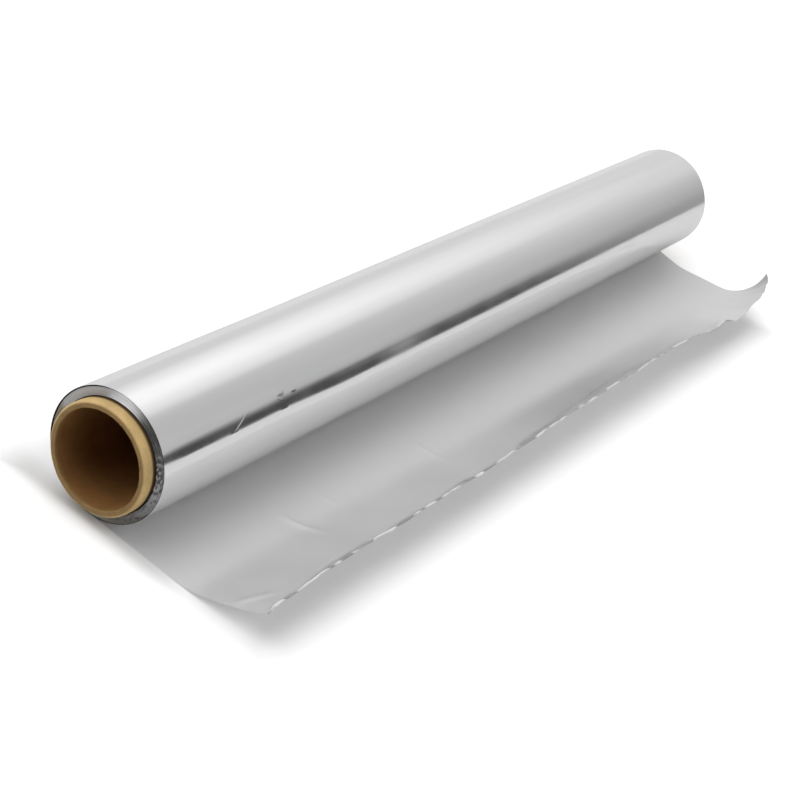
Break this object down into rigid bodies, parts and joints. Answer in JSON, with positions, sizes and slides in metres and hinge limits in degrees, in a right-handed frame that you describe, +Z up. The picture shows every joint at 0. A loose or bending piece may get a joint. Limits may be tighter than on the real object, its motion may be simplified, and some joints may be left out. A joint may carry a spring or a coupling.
{
  "type": "aluminium foil roll",
  "caption": "Roll of kitchen foil wound on a paperboard tube, with a short free sheet unrolled flat in front and curling up at its torn edge.",
  "frame": {"origin": "middle of the core's bore, halfway between the roll's ends", "axes": "+X along the bore, away from the end that shows best; -Y the way the free sheet runs; +Z up, with the sheet flat on the table"},
  "size_m": [0.3074, 0.0686, 0.0337],
  "materials": {
    "core_board": "matte",
    "foil": "satin"
  },
  "bodies": {
    "root": {"core_tube": "core_board", "foil": "foil"}
  },
  "joints": []
}
